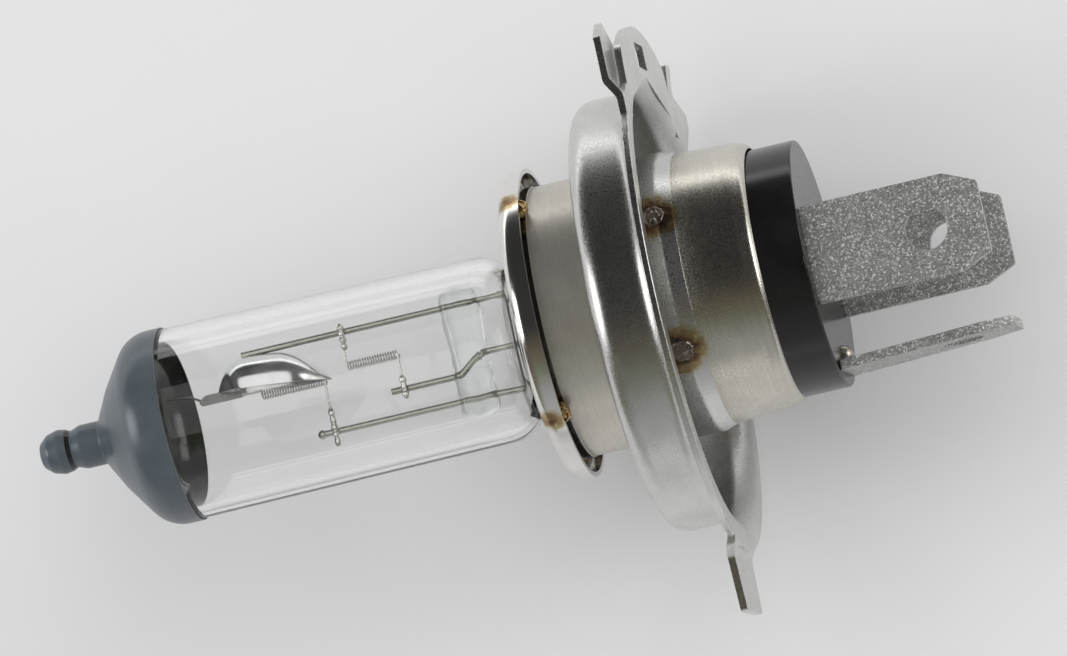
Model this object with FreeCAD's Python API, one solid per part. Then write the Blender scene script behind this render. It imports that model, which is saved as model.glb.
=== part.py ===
import FreeCAD, Part
import math
import os
from FreeCAD import Vector

# Two-filament halogen headlamp bulb, millimetres.
# It is modelled from where the lamp axis crosses the rear face of the flange rim (x = 0),
# and saved with the middle of the flange cup's straight wall as its origin.
# +X runs along the lamp axis to the glass tip, +Y to the wide locating lug,
# +Z up from the bench the lamp lies on.

# ---- glass envelope ---------------------------------------------------------
TUBE_R = 8.05            # outer radius of the quartz tube at the dome
TUBE_REAR_R = TUBE_R - 0.3    # the tube narrows slightly towards its rear
TUBE_WALL = 1.0
SHOULDER_X = 13.8        # rear end of the round tube
SHOULDER_R = 3.4
DOME_START_X = 46.6      # corner where the tube turns into the dome
DOME_MID_X, DOME_MID_R = 49.25, 4.3
DOME_END_X = 50.7
STUB_R = 1.72            # sealed exhaust stub at the tip
WAIST_X, WAIST_R = 53.35, 1.42
BALL_X, BALL_R = 54.45, 1.76
PINCH_REAR_X = 1.0       # flat press seal behind the tube
PINCH_WIDTH, PINCH_THICK = 13.0, 3.6

# ---- dark cap on the dome ---------------------------------------------------
CAP_REAR_X = 44.0
CAP_T = 0.12

# ---- lead wires, bridge, foils ----------------------------------------------
WIRE_R = 0.28
COMMON_Y, HIGH_Y, LOW_Y = -4.38, 1.42, 3.55
HIGH_SEAL_Y = -0.05      # the high-beam return is cranked inside the bridge
COMMON_FRONT_X, HIGH_FRONT_X, LOW_FRONT_X = 37.9, 26.2, 32.6
BRIDGE_X, BRIDGE_W, BRIDGE_T = 19.2, 3.1, 2.6
BRIDGE_LOW_Y, BRIDGE_HIGH_Y = -5.85, 5.1
FOIL_FRONT_X, FOIL_REAR_X = 11.5, 4.0
FOIL_W, FOIL_T = 2.4, 0.12
OUTER_LEAD_R = 0.3

# ---- dipped-beam shield -----------------------------------------------------
SHIELD_FRONT_X, SHIELD_REAR_X = 40.5, 30.8
SHIELD_DEPTH = 2.8
SHIELD_T = 0.2
SHIELD_TILT = 5.5        # degrees, rear end raised towards +Y
SHIELD_RIM_Y = -1.7     # rim height at the front tip
STRAP_T = 0.25
TAIL_R = 0.1

# ---- filaments --------------------------------------------------------------
COIL_R, COIL_WIRE_R, COIL_PITCH = 0.37, 0.065, 0.22
HIGH_COIL = (25.0, 29.4, -1.53)      # rear x, front x, height y
LOW_COIL = (31.4, 36.9, -0.76)
LEG_R = 0.1
CLAMP_SHIFT = 0.2        # the common clamp sits slightly behind the coil's front end
CLAMP_R = 0.3
CLAMP_Z = WIRE_R + CLAMP_R - 0.03    # the clamps are pinched onto the near side of the wires

# ---- base sleeve and insulator, on their own offset axis --------------------
BASE_Y = -0.98           # the base is shifted when the filament is focused
SLEEVE_R, SLEEVE_WALL = 11.33, 0.5
SLEEVE_FRONT_X, SLEEVE_REAR_X = 11.0, -7.2
SLEEVE_REAR_R = SLEEVE_R - 0.33
CRIMP_X = -6.5
INSULATOR_Y = -0.8
INSULATOR_R = SLEEVE_REAR_R - 0.65
INSULATOR_SHOULDER_R = INSULATOR_R + 0.05
INSULATOR_FRONT_X, INSULATOR_REAR_X = -4.4, -11.0

# ---- front collar -----------------------------------------------------------
LIP_R, LIP_FRONT_X, LIP_REAR_X = SLEEVE_R + 1.67, 13.1, 11.2
LIP_INNER_R = SLEEVE_R - 0.33
COLLAR_T = 0.4
COLLAR_HOLE_R = 8.5

# ---- mounting flange --------------------------------------------------------
FLANGE_T = 0.6
CUP_R, CUP_FRONT_X = 18.1, 6.1
CUP_FRONT_ROUND, CUP_REAR_ROUND = 1.7, 1.2
RIM_R = 20.85
NECK_R, NECK_REAR_X = SLEEVE_R + 0.42, -1.2
LUG_TIP_R = 25.85
LUG_STEP = 0.6           # the lugs on the near side and the top step forwards
EAR_R, EAR_HALF_ANGLE = 23.3, 27.0
SLOT_Y, SLOT_Z, SLOT_HEIGHT, SLOT_WIDTH = -20.8, 0.5, 2.1, 4.5

ORIGIN_X = ((CUP_FRONT_X - CUP_FRONT_ROUND) + (FLANGE_T + CUP_REAR_ROUND)) / 2

# ---- weld nuggets -----------------------------------------------------------
WELD_X, WELD_SIZE, WELD_SINK = 0.45, 1.3, 0.9
FLANGE_WELD_ANGLES = (-28.5, 28.5, 151.5, 208.5)    # from the near side towards the top
COLLAR_WELD_ANGLES = (-48, 42, 132, 228)

# ---- terminals --------------------------------------------------------------
BLADE_W, BLADE_T = 8.1, 0.8
BLADE_REAR_X = -25.6
BLADE_HOLE_R, BLADE_HOLE_X = 1.75, -20.8
SIDE_BLADE_OFFSET = 7.2  # inner faces from the base axis
TOP_BLADE_OFFSET = 8.45
TOP_BLADE_LEAN = 2.0     # degrees towards the axis at its tip


def at(x, y, z=0.0):
    return Vector(x, y, z)


def rounded_face(corners):
    """Flat face in the XY plane; each corner is (x, y, corner radius)."""
    pts = [Vector(c[0], c[1], 0) for c in corners]
    n = len(pts)
    arcs = []
    for i in range(n):
        p = pts[i]
        radius = corners[i][2] if len(corners[i]) > 2 else 0
        if not radius:
            arcs.append((p, None, p))
            continue
        d1 = (pts[i - 1] - p).normalize()
        d2 = (pts[(i + 1) % n] - p).normalize()
        half = d1.getAngle(d2) / 2
        cut = radius / math.tan(half)
        middle = p + (d1 + d2).normalize() * (radius / math.sin(half) - radius)
        arcs.append((p + d1 * cut, middle, p + d2 * cut))
    edges = []
    for i in range(n):
        start, middle, end = arcs[i]
        if middle:
            edges.append(Part.Arc(start, middle, end).toShape())
        follow = arcs[(i + 1) % n][0]
        if (follow - end).Length > 1e-7:
            edges.append(Part.LineSegment(end, follow).toShape())
    return Part.Face(Part.Wire(Part.__sortEdges__(edges)))


def turned(corners, axis_y=0.0, sweep=360):
    """Solid of revolution about a line parallel to X; corners are (x, radius, rounding)."""
    solid = rounded_face(corners).revolve(Vector(0, 0, 0), Vector(1, 0, 0), sweep)
    solid.translate(Vector(0, axis_y, 0))
    return solid


def rod(start, end, radius):
    return Part.makeCylinder(radius, (end - start).Length, start, end - start)


def bent_wire(points, radius):
    """Round wire through the points, with ball joints at the bends."""
    pieces = [rod(points[i], points[i + 1], radius) for i in range(len(points) - 1)]
    pieces += [Part.makeSphere(radius, p) for p in points[1:-1]]
    return pieces[0].multiFuse(pieces[1:]).removeSplitter()


def block(x0, x1, y0, y1, z0, z1):
    return Part.makeBox(x1 - x0, y1 - y0, z1 - z0, Vector(x0, y0, z0))


def plate(outline, x0, x1):
    """Flat plate across the lamp axis; the outline is (y, z, corner radius)."""
    face = rounded_face(outline)
    face.transformShape(FreeCAD.Matrix(0, 0, 1, x0, 1, 0, 0, 0, 0, 1, 0, 0, 0, 0, 0, 1))
    return face.extrude(Vector(x1 - x0, 0, 0))


def coil(rear_x, front_x, y):
    """Single-helix filament along X."""
    helix = Part.makeHelix(COIL_PITCH, front_x - rear_x, COIL_R)
    ring = Part.Wire(Part.makeCircle(COIL_WIRE_R, Vector(COIL_R, 0, 0), Vector(0, 1, 0)))
    body = Part.Wire(helix).makePipeShell([ring], True, True)
    body.rotate(Vector(0, 0, 0), Vector(0, 1, 0), 90)
    body.translate(Vector(rear_x, y, 0))
    return body


def clamp(x, y0, y1):
    """Crimped tube standing along Y, resting on the near side of a lead wire."""
    return rod(at(x, y0, CLAMP_Z), at(x, y1, CLAMP_Z), CLAMP_R)


def leg(x, y0, y1):
    """Straight filament tail along Y, level with the clamps."""
    return rod(at(x, y0, CLAMP_Z), at(x, y1, CLAMP_Z), LEG_R)


def save(name, shape):
    shape.translate(Vector(-ORIGIN_X, 0, 0))
    shape.exportStep("parts/" + name + ".step")


os.makedirs("parts", exist_ok=True)

# ---- lead wires inside the glass ---------------------------------------------
lead_wire_common = rod(at(FOIL_FRONT_X, COMMON_Y), at(COMMON_FRONT_X, COMMON_Y), WIRE_R)
lead_wire_high_beam = bent_wire([
    at(FOIL_FRONT_X, HIGH_SEAL_Y),
    at(BRIDGE_X - 0.9, HIGH_SEAL_Y),
    at(BRIDGE_X + 0.9, HIGH_Y),
    at(HIGH_FRONT_X, HIGH_Y),
], WIRE_R)
lead_wire_low_beam = rod(at(FOIL_FRONT_X, LOW_Y), at(LOW_FRONT_X, LOW_Y), WIRE_R)
lead_wire_low_beam = lead_wire_low_beam.fuse(Part.makeSphere(WIRE_R * 1.4, at(LOW_FRONT_X, LOW_Y)))
lead_wires = [lead_wire_common, lead_wire_high_beam, lead_wire_low_beam]

# ---- glass bridge that spaces the wires --------------------------------------
bridge_bar = block(BRIDGE_X - BRIDGE_W / 2, BRIDGE_X + BRIDGE_W / 2,
                   BRIDGE_LOW_Y, BRIDGE_HIGH_Y, -BRIDGE_T / 2, BRIDGE_T / 2)
bridge_bar = bridge_bar.makeFillet(1.1, bridge_bar.Edges)
glass_bridge = bridge_bar.cut(lead_wires)

# ---- sealing foils and outer leads -------------------------------------------
seal_heights = [COMMON_Y, HIGH_SEAL_Y, LOW_Y]
sealing_foils = [block(FOIL_REAR_X, FOIL_FRONT_X, y - FOIL_W / 2, y + FOIL_W / 2,
                       -FOIL_T / 2, FOIL_T / 2) for y in seal_heights]
lead_end_x = INSULATOR_REAR_X - 0.7
side_seat = SIDE_BLADE_OFFSET - OUTER_LEAD_R - 0.35
top_seat = TOP_BLADE_OFFSET - OUTER_LEAD_R - 0.35
outer_lead_common = bent_wire([
    at(FOIL_REAR_X, COMMON_Y),
    at(-0.5, COMMON_Y),
    at(-3.6, INSULATOR_Y, -side_seat),
    at(lead_end_x, INSULATOR_Y, -side_seat),
], OUTER_LEAD_R)
outer_lead_high_beam = bent_wire([
    at(FOIL_REAR_X, HIGH_SEAL_Y),
    at(-0.5, HIGH_SEAL_Y),
    at(-3.6, INSULATOR_Y, side_seat),
    at(lead_end_x, INSULATOR_Y, side_seat),
], OUTER_LEAD_R)
outer_lead_low_beam = bent_wire([
    at(FOIL_REAR_X, LOW_Y),
    at(-0.5, LOW_Y),
    at(-3.6, INSULATOR_Y + top_seat),
    at(lead_end_x, INSULATOR_Y + top_seat),
], OUTER_LEAD_R)
outer_leads = [outer_lead_common, outer_lead_high_beam, outer_lead_low_beam]

# ---- glass envelope -----------------------------------------------------------


def dome_corners(growth):
    """Front part of the envelope outline, moved outwards by the growth."""
    return [
        (DOME_START_X + growth, TUBE_R + growth, 3.0),
        (DOME_MID_X + growth, DOME_MID_R + growth, 4.0),
        (DOME_END_X + growth, STUB_R + growth, 0.25),
        (WAIST_X - 0.8, STUB_R + growth, 0.9),
        (WAIST_X, WAIST_R + growth, 0.3),
        (BALL_X, WAIST_R + growth),
        (BALL_X, 0),
    ]


envelope = turned([(SHOULDER_X, 0), (SHOULDER_X, TUBE_REAR_R, SHOULDER_R)] + dome_corners(0.0))
envelope = envelope.fuse(Part.makeSphere(BALL_R, at(BALL_X, 0)))
pinch = block(PINCH_REAR_X, SHOULDER_X + 1.5 * TUBE_WALL, -PINCH_WIDTH / 2, PINCH_WIDTH / 2,
              -PINCH_THICK / 2, PINCH_THICK / 2)
pinch = pinch.makeFillet(0.8, [e for e in pinch.Edges if abs(e.tangentAt(e.FirstParameter).x) > 0.9])
cavity = turned([
    (SHOULDER_X + TUBE_WALL, 0),
    (SHOULDER_X + TUBE_WALL, TUBE_REAR_R - TUBE_WALL, SHOULDER_R - TUBE_WALL),
    (DOME_START_X - 0.5, TUBE_R - TUBE_WALL, 2.2),
    (DOME_MID_X - 0.9, DOME_MID_R - 0.6, 2.5),
    (DOME_END_X - 1.2, 0),
])
glass_envelope = envelope.fuse(pinch).cut([cavity] + lead_wires + sealing_foils + outer_leads)

# ---- dark cap ------------------------------------------------------------------
cap_skin = turned([(CAP_REAR_X, 0), (CAP_REAR_X, TUBE_R + CAP_T)] + dome_corners(CAP_T))
cap_skin = cap_skin.fuse(Part.makeSphere(BALL_R + CAP_T, at(BALL_X, 0)))
anti_glare_cap = cap_skin.cut([envelope])

# ---- dipped-beam shield and its front strap --------------------------------------
shield_length = SHIELD_FRONT_X - SHIELD_REAR_X


def boat(inset):
    """Half of a round-ended boat hull, hollowed by the inset."""
    depth = SHIELD_DEPTH - inset
    return turned([
        (inset, 0),
        (inset, 0.2),
        (1.5 + inset * 0.7, 2.2 - inset * 0.7, 1.6),
        (2.6 + inset * 0.3, depth, 1.8),
        (shield_length - 1.7 - inset * 0.5, depth, 1.4),
        (shield_length - inset, 0.2),
        (shield_length - inset, 0),
    ], sweep=180)


hull = boat(0.0)
shield = hull.cut(boat(SHIELD_T))
for piece in (hull, shield):
    piece.rotate(Vector(0, 0, 0), Vector(1, 0, 0), 90)
    piece.translate(Vector(-shield_length, 0, 0))
    piece.rotate(Vector(0, 0, 0), Vector(0, 0, 1), -SHIELD_TILT)
    piece.translate(Vector(SHIELD_FRONT_X, SHIELD_RIM_Y, 0))
lead_wire_common = lead_wire_common.cut(hull)

strap_face = rounded_face([
    (38.5, SHIELD_RIM_Y + 0.72, 0.05),
    (38.5, SHIELD_RIM_Y + 0.3, 0.05),
    (SHIELD_FRONT_X - 0.3, SHIELD_RIM_Y - 0.12, 0.05),
    (SHIELD_FRONT_X + 1.1, SHIELD_RIM_Y - 0.12, 0.3),
    (SHIELD_FRONT_X + 1.7, SHIELD_RIM_Y + 0.35, 0.1),
    (SHIELD_FRONT_X + 1.5, SHIELD_RIM_Y + 0.7, 0.15),
])
strap = strap_face.extrude(Vector(0, 0, STRAP_T))
strap.translate(Vector(0, 0, -STRAP_T / 2))
tail = bent_wire([
    at(SHIELD_FRONT_X + 1.4, SHIELD_RIM_Y + 0.3),
    at(SHIELD_FRONT_X + 2.3, SHIELD_RIM_Y - 0.25),
    at(SHIELD_FRONT_X + 4.3, SHIELD_RIM_Y - 0.45),
], TAIL_R)
filament_strap = strap.fuse(tail).cut(shield)

# ---- filaments and their clamps --------------------------------------------------
high_rear, high_front, high_y = HIGH_COIL
low_rear, low_front, low_y = LOW_COIL
clamp_common_span = (COMMON_Y - 0.65, COMMON_Y + 1.6)
clamp_high_span = (HIGH_Y - 1.15, HIGH_Y + 0.85)
clamp_low_span = (LOW_Y - 1.95, LOW_Y + 1.25)
high_beam_filament = coil(high_rear, high_front, high_y).multiFuse([
    leg(high_front - CLAMP_SHIFT / 2, high_y, clamp_common_span[1]),
    leg(high_rear, high_y, clamp_high_span[0]),
])
low_beam_filament = coil(low_rear, low_front, low_y).multiFuse([
    leg(low_rear, low_y, clamp_low_span[0]),
    rod(at(low_front - 0.1, low_y - COIL_R), at(38.5, low_y - COIL_R), LEG_R),
])
filament_clamp_common = clamp(high_front - CLAMP_SHIFT, *clamp_common_span).cut(lead_wire_common)
filament_clamp_high = clamp(high_rear, *clamp_high_span).cut(lead_wire_high_beam)
filament_clamp_low = clamp(low_rear, *clamp_low_span).cut(lead_wire_low_beam)

# ---- base sleeve -------------------------------------------------------------------
sleeve_bore = SLEEVE_R - SLEEVE_WALL
rear_bore = SLEEVE_REAR_R - SLEEVE_WALL
base_sleeve = turned([
    (SLEEVE_FRONT_X, sleeve_bore),
    (SLEEVE_FRONT_X, SLEEVE_R),
    (-1.0, SLEEVE_R, 6.0),
    (CRIMP_X + 0.6, SLEEVE_REAR_R + 0.08, 2.0),
    (SLEEVE_REAR_X + 0.25, SLEEVE_REAR_R - 0.2, 0.6),
    (SLEEVE_REAR_X, SLEEVE_REAR_R - 0.55),
    (SLEEVE_REAR_X, INSULATOR_R - 0.3),
    (CRIMP_X, INSULATOR_R - 0.3),
    (CRIMP_X, rear_bore, 0.05),
    (-1.2, sleeve_bore, 5.0),
], BASE_Y)

# ---- insulator with the three blades through it ---------------------------------------
insulator = turned([
    (INSULATOR_FRONT_X, 0),
    (INSULATOR_FRONT_X, INSULATOR_SHOULDER_R, 0.3),
    (CRIMP_X, INSULATOR_SHOULDER_R),
    (CRIMP_X, INSULATOR_R),
    (INSULATOR_REAR_X, INSULATOR_R, 0.15),
    (INSULATOR_REAR_X, 0),
], INSULATOR_Y)
base_sleeve = base_sleeve.cut(insulator)


def blade():
    """Flat spade terminal with its inner face on z = 0, centred on the insulator."""
    half = BLADE_W / 2
    outline = rounded_face([
        (BLADE_REAR_X, -half + 1.15, 0.2),
        (BLADE_REAR_X, half - 1.15, 0.2),
        (BLADE_REAR_X + 2.6, half, 0.4),
        (INSULATOR_REAR_X, half),
        (INSULATOR_REAR_X, half - 1.5),
        (INSULATOR_FRONT_X + 0.8, half - 1.5),
        (INSULATOR_FRONT_X + 0.8, -half + 1.5),
        (INSULATOR_REAR_X, -half + 1.5),
        (INSULATOR_REAR_X, -half),
        (BLADE_REAR_X + 2.6, -half, 0.4),
    ])
    body = outline.extrude(Vector(0, 0, BLADE_T))
    return body.cut(rod(at(BLADE_HOLE_X, 0, -1), at(BLADE_HOLE_X, 0, BLADE_T + 1), BLADE_HOLE_R))


def around_insulator(shape, turn):
    """Turn a shape from the near side about the insulator's axis and move it there."""
    shape.rotate(Vector(0, 0, 0), Vector(1, 0, 0), turn)
    shape.translate(Vector(0, INSULATOR_Y, 0))
    return shape


def placed_blade(turn, offset, lean=0):
    """Blade pushed out from the base axis and turned about it; it leans about its foot."""
    body = blade()
    body.rotate(Vector(INSULATOR_REAR_X, 0, 0), Vector(0, 1, 0), -lean)
    body.translate(Vector(0, 0, offset))
    return around_insulator(body, turn)


NEAR, TOP, FAR = 0, -90, 180
terminal_high_beam = placed_blade(NEAR, SIDE_BLADE_OFFSET)
terminal_low_beam = placed_blade(TOP, TOP_BLADE_OFFSET, TOP_BLADE_LEAN)
terminal_common = placed_blade(FAR, SIDE_BLADE_OFFSET)
terminals = [terminal_high_beam, terminal_low_beam, terminal_common]

solder_joints = []
for turn, seat in ((NEAR, side_seat), (TOP, top_seat), (FAR, side_seat)):
    joint = Part.makeSphere(0.85, at(INSULATOR_REAR_X, 0, seat))
    joint = joint.common(block(INSULATOR_REAR_X - 2, INSULATOR_REAR_X, -2, 2, 0, INSULATOR_R))
    solder_joints.append(around_insulator(joint, turn).cut(outer_leads + terminals))
insulator = insulator.cut(terminals + outer_leads)

# ---- front collar, clamp for the press seal ---------------------------------------------
collar_rear_x = SLEEVE_FRONT_X
collar_front_x = collar_rear_x + COLLAR_T
front_collar = turned([
    (collar_rear_x, COLLAR_HOLE_R),
    (collar_front_x, COLLAR_HOLE_R),
    (collar_front_x, LIP_INNER_R, 0.4),
    (LIP_FRONT_X, LIP_INNER_R, 0.9),
    (LIP_FRONT_X, LIP_R, 1.1),
    (LIP_REAR_X, LIP_R),
    (LIP_REAR_X, LIP_R - COLLAR_T),
    (LIP_FRONT_X - COLLAR_T, LIP_R - COLLAR_T, 0.7),
    (LIP_FRONT_X - COLLAR_T, LIP_INNER_R + COLLAR_T, 0.5),
    (collar_rear_x, LIP_INNER_R + COLLAR_T),
], BASE_Y)

holder_disc = Part.makeCylinder(sleeve_bore - 0.05, 0.5, at(collar_rear_x - 0.5, BASE_Y), Vector(1, 0, 0))
holder_box = block(4.2, collar_rear_x - 0.4, -PINCH_WIDTH / 2 - 0.6, PINCH_WIDTH / 2 + 0.6,
                   -PINCH_THICK / 2 - 0.6, PINCH_THICK / 2 + 0.6)
pinch_holder = holder_disc.fuse(holder_box)
pinch_holder = pinch_holder.cut(block(0, 12, -PINCH_WIDTH / 2, PINCH_WIDTH / 2,
                                      -PINCH_THICK / 2, PINCH_THICK / 2))
pinch_window = block(5.0, 8.5, -3.0, 3.0, -10, 10)
pinch_holder = pinch_holder.cut(pinch_window)

# ---- mounting flange -----------------------------------------------------------------------
cup_floor_x = CUP_FRONT_X - FLANGE_T
cup = turned([
    (cup_floor_x, 0),
    (CUP_FRONT_X, 0),
    (CUP_FRONT_X, CUP_R, CUP_FRONT_ROUND),
    (FLANGE_T, CUP_R, CUP_REAR_ROUND),
    (FLANGE_T, RIM_R, 0.15),
    (0, RIM_R, 0.15),
    (0, CUP_R - FLANGE_T, CUP_REAR_ROUND + FLANGE_T),
    (cup_floor_x, CUP_R - FLANGE_T, CUP_FRONT_ROUND - FLANGE_T),
])


def stepped_lug(outline, root, bend, step):
    """Lug along +Y that steps forwards beyond the bend height; the outline is (y, z, rounding)."""
    reach = LUG_TIP_R + 1
    side = rounded_face([
        (0, root), (0, bend, 1.0), (step, bend + 1.4, 1.0), (step, reach),
        (step + FLANGE_T, reach), (step + FLANGE_T, bend + 1.2, 1.0), (FLANGE_T, bend - 0.2, 1.0),
        (FLANGE_T, root),
    ])
    side.translate(Vector(0, 0, -LUG_TIP_R))
    return side.extrude(Vector(0, 0, 2 * LUG_TIP_R)).common(plate(outline, -1, 3))


def in_ring(angle, radius):
    """Point (y, z) at an angle from -Y towards +Z."""
    a = math.radians(angle)
    return -radius * math.cos(a), radius * math.sin(a)


wide_lug = stepped_lug([
    (CUP_R + 1, -5.6), (RIM_R - 0.4, -4.9, 0.6), (21.3, -4.1, 0.5), (LUG_TIP_R, -3.5, 0.3),
    (LUG_TIP_R, 4.1, 0.3), (21.3, 5.0, 0.5), (RIM_R - 0.4, 6.2, 0.6), (CUP_R + 1, 6.8),
], CUP_R + 1, RIM_R - 0.9, LUG_STEP)
near_lug = stepped_lug([
    (14.6, -14.65), (21.3, -14.7, 0.4), (22.7, -12.3, 0.4), (21.2, -8.7, 0.5), (19.5, -8.0, 0.3),
    (17.2, -9.6, 0.5), (14.6, -12.0),
], 14.4, 16.4, LUG_STEP + 0.25)
near_lug.rotate(Vector(0, 0, 0), Vector(1, 0, 0), 180)
far_lug = plate([
    (-15.0, -11.0), (-14.4, -15.3), (-16.4, -18.3, 0.4), (-17.5, -18.5, 0.3), (-18.7, -12.9, 0.3),
    (-20.0, -13.7, 0.2), (-21.4, -15.0, 0.2), (-21.4, -12.8, 0.3), (-19.0, -11.0),
], 0, FLANGE_T)
ear_turns = [EAR_HALF_ANGLE * k / 4 for k in range(-4, 5)]
ear_corners = [in_ring(turn, EAR_R) for turn in ear_turns]
ear_foot = [in_ring(EAR_HALF_ANGLE + 7, RIM_R - 0.7), in_ring(EAR_HALF_ANGLE + 3, CUP_R + 1),
            in_ring(0, CUP_R + 1),
            in_ring(-EAR_HALF_ANGLE - 3, CUP_R + 1), in_ring(-EAR_HALF_ANGLE - 7, RIM_R - 0.7)]
ear = plate([(y, z, 2.0) for y, z in ear_corners] + ear_foot, 0, FLANGE_T)
ear_slot = plate([
    (SLOT_Y - SLOT_HEIGHT / 2, SLOT_Z - SLOT_WIDTH / 2, 0.3),
    (SLOT_Y + SLOT_HEIGHT / 2, SLOT_Z - SLOT_WIDTH / 2, 0.3),
    (SLOT_Y + SLOT_HEIGHT / 2, SLOT_Z + SLOT_WIDTH / 2, 0.3),
    (SLOT_Y - SLOT_HEIGHT / 2, SLOT_Z + SLOT_WIDTH / 2, 0.3),
], -1, FLANGE_T + 1)
neck = turned([
    (cup_floor_x, SLEEVE_R),
    (cup_floor_x, NECK_R + 1.0),
    (cup_floor_x - 1.0, NECK_R, 0.3),
    (0.0, NECK_R, 1.0),
    (NECK_REAR_X, SLEEVE_R + 0.05),
    (NECK_REAR_X, SLEEVE_R),
], BASE_Y)
neck_hole = Part.makeCylinder(SLEEVE_R, 30, at(-10, BASE_Y), Vector(1, 0, 0))
mounting_flange = cup
for feature in (wide_lug, near_lug, far_lug, ear):
    mounting_flange = mounting_flange.fuse(feature)
mounting_flange = mounting_flange.cut(neck_hole).fuse(neck).cut(ear_slot)

# ---- weld nuggets ------------------------------------------------------------------------------


def nuggets(x, radius, size, sink, angles):
    """Weld beads sunk in a cylinder about the base axis; angles from +Z towards +Y."""
    beads = []
    for angle in angles:
        a = math.radians(angle)
        reach = radius - sink
        centre = Vector(x, BASE_Y + reach * math.sin(a), reach * math.cos(a))
        bead = Part.makeSphere(size, centre)
        beads.append(bead.cut(Part.makeCylinder(radius, 8, at(x - 4, BASE_Y), Vector(1, 0, 0))))
    return beads


flange_welds = nuggets(WELD_X, NECK_R, WELD_SIZE, WELD_SINK, FLANGE_WELD_ANGLES)
flange_welds = [bead.cut([mounting_flange, base_sleeve]) for bead in flange_welds]
collar_welds = nuggets(LIP_REAR_X - 0.1, SLEEVE_R, 1.0, 0.1, COLLAR_WELD_ANGLES)
collar_welds = [bead.cut([front_collar, base_sleeve]) for bead in collar_welds]

# ---- files ----------------------------------------------------------------------------------------
save("glass_envelope", glass_envelope)
save("anti_glare_cap", anti_glare_cap)
save("glass_bridge", glass_bridge)
save("lead_wire_common", lead_wire_common)
save("lead_wire_high_beam", lead_wire_high_beam)
save("lead_wire_low_beam", lead_wire_low_beam)
save("sealing_foils", Part.makeCompound(sealing_foils))
save("outer_lead_common", outer_lead_common)
save("outer_lead_high_beam", outer_lead_high_beam)
save("outer_lead_low_beam", outer_lead_low_beam)
save("dipped_beam_shield", shield)
save("filament_strap", filament_strap)
save("low_beam_filament", low_beam_filament)
save("high_beam_filament", high_beam_filament)
save("filament_clamp_common", filament_clamp_common)
save("filament_clamp_high", filament_clamp_high)
save("filament_clamp_low", filament_clamp_low)
save("pinch_holder", pinch_holder)
save("front_collar", front_collar)
save("collar_welds", Part.makeCompound(collar_welds))
save("base_sleeve", base_sleeve)
save("mounting_flange", mounting_flange)
save("flange_welds", Part.makeCompound(flange_welds))
save("insulator", insulator)
save("terminal_high_beam", terminal_high_beam)
save("terminal_low_beam", terminal_low_beam)
save("terminal_common", terminal_common)
save("solder_joints", Part.makeCompound(solder_joints))
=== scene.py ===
"""Looks of a two-filament halogen headlamp bulb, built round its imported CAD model."""
import math

import bpy
from mathutils import Matrix, Vector


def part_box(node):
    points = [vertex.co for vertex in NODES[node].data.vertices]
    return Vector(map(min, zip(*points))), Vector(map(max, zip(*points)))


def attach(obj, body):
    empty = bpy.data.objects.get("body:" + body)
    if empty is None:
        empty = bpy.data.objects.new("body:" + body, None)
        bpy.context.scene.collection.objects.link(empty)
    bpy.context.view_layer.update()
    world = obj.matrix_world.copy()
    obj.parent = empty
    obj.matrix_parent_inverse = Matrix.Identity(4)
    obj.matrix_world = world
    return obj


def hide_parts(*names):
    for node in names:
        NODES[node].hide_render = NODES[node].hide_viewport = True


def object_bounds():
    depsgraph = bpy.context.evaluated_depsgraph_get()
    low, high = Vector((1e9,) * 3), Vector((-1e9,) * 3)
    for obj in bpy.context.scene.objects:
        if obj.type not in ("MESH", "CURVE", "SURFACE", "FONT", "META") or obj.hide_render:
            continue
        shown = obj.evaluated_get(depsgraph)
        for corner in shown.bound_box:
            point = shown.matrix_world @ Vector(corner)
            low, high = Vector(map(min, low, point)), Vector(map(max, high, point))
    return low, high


bl_info = {
    "name": "Headlamp Bulb",
    "version": (1, 0, 0),
    "blender": (4, 5, 0),
    "location": "View3D > Sidebar > Bulb",
    "description": "Builds the visible pieces, finishes and studio of a halogen headlamp bulb",
    "category": "Object",
}

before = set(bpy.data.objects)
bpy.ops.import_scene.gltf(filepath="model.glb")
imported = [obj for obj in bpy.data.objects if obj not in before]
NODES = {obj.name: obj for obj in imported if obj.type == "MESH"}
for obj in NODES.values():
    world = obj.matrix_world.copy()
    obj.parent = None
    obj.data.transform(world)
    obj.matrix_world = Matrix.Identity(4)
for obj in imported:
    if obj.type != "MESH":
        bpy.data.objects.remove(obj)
CAD_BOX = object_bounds()
MM = 0.001

# Lengths along the lamp axis are taken from the rear face of the flange rim, which lies this far
# behind the origin in the middle of the cup wall.
RIM_TO_ORIGIN = 3.1
BASE_Y = -0.98
INSULATOR_Y = -0.8


def station(x):
    """Place along the lamp axis, in metres, of a length in millimetres in front of the rim."""
    return (x - RIM_TO_ORIGIN) * MM


# ---- settings ------------------------------------------------------------------------------


class BulbSizes(bpy.types.PropertyGroup):
    """Sizes of the modelled pieces."""
    blade_edge: bpy.props.FloatProperty(
        name="Blade edge", description="Rounding of the terminals' sheared edges",
        default=0.00011, unit="LENGTH", precision=5)
    blade_thickness: bpy.props.FloatProperty(
        name="Blade thickness", description="Sheet thickness of the terminals",
        default=0.0008, unit="LENGTH", precision=5)
    neck_weld_radius: bpy.props.FloatProperty(
        name="Neck weld radius", description="Radius of a spot weld at the flange neck",
        default=0.00095, unit="LENGTH", precision=5)
    collar_weld_radius: bpy.props.FloatProperty(
        name="Collar weld radius", description="Radius of a spot weld on the front collar",
        default=0.0009, unit="LENGTH", precision=5)
    turn_steps: bpy.props.IntProperty(
        name="Turned steps", description="Steps round each turned piece", default=160, min=48)


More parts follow.
